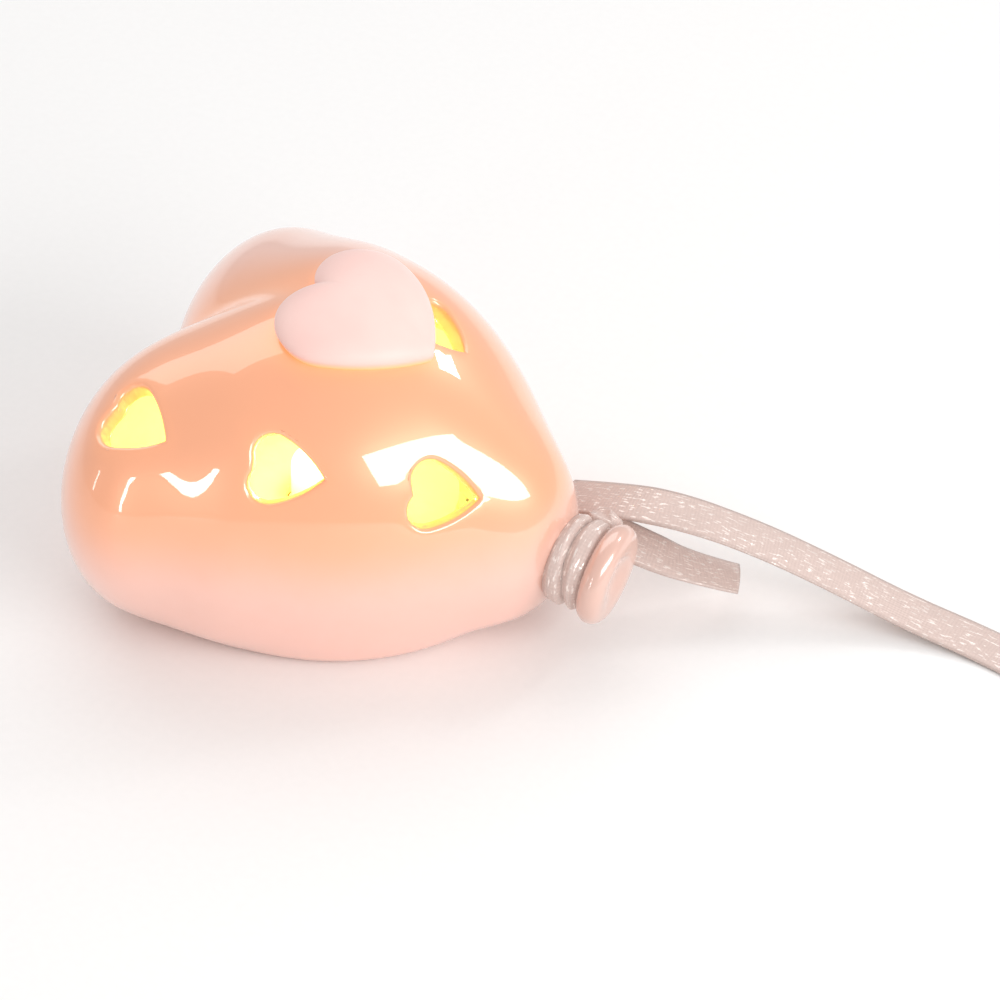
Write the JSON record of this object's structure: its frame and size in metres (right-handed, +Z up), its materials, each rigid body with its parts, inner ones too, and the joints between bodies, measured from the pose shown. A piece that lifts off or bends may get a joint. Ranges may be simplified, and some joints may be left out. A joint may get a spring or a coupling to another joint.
{
  "type": "heart balloon lamp",
  "caption": "Small porcelain lamp in the form of a heart-shaped balloon lying on a flat foot, with pierced hearts, a raised heart, a ribbon at its tied neck and a battery light in its base.",
  "frame": {"origin": "on the surface that the flat foot stands on, under the middle of the porcelain's box, ribbon tails not counted", "axes": "+X towards the tied neck, +Y to the right-hand lobe seen from the neck end, +Z up"},
  "size_m": [0.129, 0.0574, 0.0415],
  "materials": {
    "pearl_glaze": "pink porcelain under a pearly gloss glaze, lit from inside",
    "matte_porcelain": "pale pink porcelain, matte",
    "satin": "pale pink satin ribbon with fine crosswise ribs",
    "silicone": "translucent white silicone",
    "white_plastic": "moulded white plastic, finely textured",
    "black_plastic": "moulded black plastic",
    "board_laminate": "green lacquered glass-fibre laminate",
    "lamp_epoxy": "clear amber epoxy, lit",
    "plated_steel": "bright zinc plate",
    "cell_steel": "rolled stainless steel",
    "tinned_wire": "tinned spring metal"
  },
  "bodies": {
    "lamp": {"balloon_shell": "pearl_glaze", "raised_heart": "matte_porcelain", "ribbon_neck_wrap": "satin", "ribbon_knot": "satin", "ribbon_long_tail": "satin", "ribbon_short_tail": "satin", "silicone_ring": "silicone", "led_housing": "white_plastic", "housing_lid": "white_plastic", "lid_screws": "plated_steel", "circuit_board": "board_laminate", "led_lamp": "lamp_epoxy", "anode_lead": "tinned_wire", "cathode_lead": "tinned_wire", "slide_switch_case": "plated_steel", "switch_terminals": "tinned_wire", "coin_cell": "cell_steel", "positive_contact": "tinned_wire", "negative_contact": "tinned_wire", "series_resistor": "black_plastic"},
    "slider": {"switch_slider": "black_plastic"},
    "door": {"battery_door": "white_plastic"}
  },
  "joints": [
    {"name": "switch_slide", "type": "slide", "parent": "lamp", "child": "slider", "axis": [0, 1, 0], "range_m": [0, 0.002]},
    {"name": "door_turn", "type": "hinge", "parent": "lamp", "child": "door", "pos_m": [-0.00825, 0, 0.0012], "axis": [0, 0, -1], "range_deg": [0, 30]}
  ]
}
